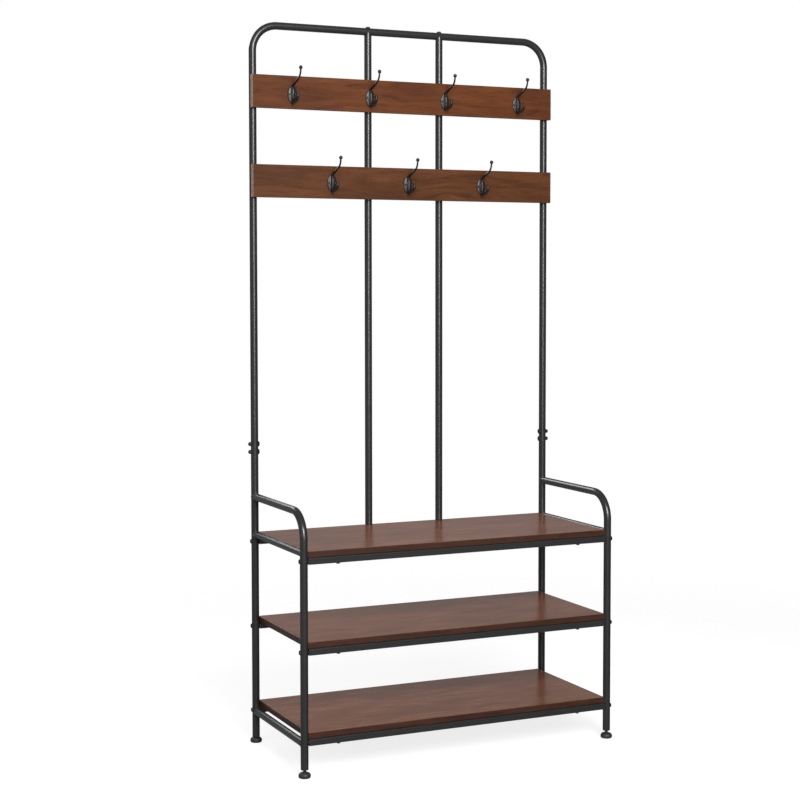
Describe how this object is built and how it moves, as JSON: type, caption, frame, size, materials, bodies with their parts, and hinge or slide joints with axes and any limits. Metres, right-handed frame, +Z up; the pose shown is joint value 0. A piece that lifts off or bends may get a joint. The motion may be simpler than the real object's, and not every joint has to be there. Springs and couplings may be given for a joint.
{
  "type": "hall tree",
  "caption": "Freestanding steel tube hall tree with coat hooks on two wooden boards, a bench seat with armrests and shoe shelves below.",
  "frame": {"origin": "on the floor under the middle of the bounding box", "axes": "+X to the right seen from the front, +Y to the back, where the hook boards are, +Z up"},
  "size_m": [0.8686, 0.371, 1.8333],
  "materials": {
    "frame_steel": "charcoal black textured powder coat",
    "fastener": "black oxide, satin",
    "cast_hook": "cast metal with a dark bronze black coat",
    "shelf_wood": "reddish brown wood grain laminate, satin",
    "hook_board_wood": "reddish brown wood grain laminate, satin",
    "foot_plastic": "black moulded plastic"
  },
  "bodies": {
    "frame": {"rear_post_left": "frame_steel", "back_post_left": "frame_steel", "arm_tube_left": "frame_steel", "seat_side_rail_left": "frame_steel", "base_side_rail_left": "frame_steel", "rear_post_right": "frame_steel", "back_post_right": "frame_steel", "arm_tube_right": "frame_steel", "seat_side_rail_right": "frame_steel", "base_side_rail_right": "frame_steel", "top_arch": "frame_steel", "mid_post_upper_left": "frame_steel", "mid_post_lower_left": "frame_steel", "mid_post_upper_right": "frame_steel", "mid_post_lower_right": "frame_steel", "seat_rail_front": "frame_steel", "seat_rail_rear": "frame_steel", "middle_rail_front": "frame_steel", "middle_rail_rear": "frame_steel", "bottom_rail_front": "frame_steel", "bottom_rail_rear": "frame_steel", "seat_board": "shelf_wood", "middle_shelf": "shelf_wood", "bottom_shelf": "shelf_wood", "upper_hook_board": "hook_board_wood", "lower_hook_board": "hook_board_wood", "upper_hook_1": "cast_hook", "upper_hook_2": "cast_hook", "upper_hook_3": "cast_hook", "upper_hook_4": "cast_hook", "lower_hook_1": "cast_hook", "lower_hook_2": "cast_hook", "lower_hook_3": "cast_hook", "seat_bolt_front_left": "fastener", "seat_bolt_rear_left": "fastener", "middle_bolt_front_left": "fastener", "middle_bolt_rear_left": "fastener", "bottom_bolt_front_left": "fastener", "bottom_bolt_rear_left": "fastener", "post_joint_bolt_left_1": "fastener", "post_joint_bolt_left_2": "fastener", "top_screw_left": "fastener", "seat_bolt_front_right": "fastener", "seat_bolt_rear_right": "fastener", "middle_bolt_front_right": "fastener", "middle_bolt_rear_right": "fastener", "bottom_bolt_front_right": "fastener", "bottom_bolt_rear_right": "fastener", "post_joint_bolt_right_1": "fastener", "post_joint_bolt_right_2": "fastener", "top_screw_right": "fastener", "foot_insert_front_left": "foot_plastic", "foot_insert_rear_left": "foot_plastic", "foot_insert_front_right": "foot_plastic", "foot_insert_rear_right": "foot_plastic"},
    "front_left_foot": {"foot_front_left": "foot_plastic"},
    "rear_left_foot": {"foot_rear_left": "foot_plastic"},
    "front_right_foot": {"foot_front_right": "foot_plastic"},
    "rear_right_foot": {"foot_rear_right": "foot_plastic"}
  },
  "joints": [
    {"name": "front_left_foot_travel", "type": "slide", "parent": "frame", "child": "front_left_foot", "axis": [0, 0, -1], "range_m": [-0.005, 0.01]},
    {"name": "rear_left_foot_travel", "type": "slide", "parent": "frame", "child": "rear_left_foot", "axis": [0, 0, -1], "range_m": [0, 0.012]},
    {"name": "front_right_foot_travel", "type": "slide", "parent": "frame", "child": "front_right_foot", "axis": [0, 0, -1], "range_m": [-0.005, 0.01]},
    {"name": "rear_right_foot_travel", "type": "slide", "parent": "frame", "child": "rear_right_foot", "axis": [0, 0, -1], "range_m": [0, 0.012]}
  ]
}
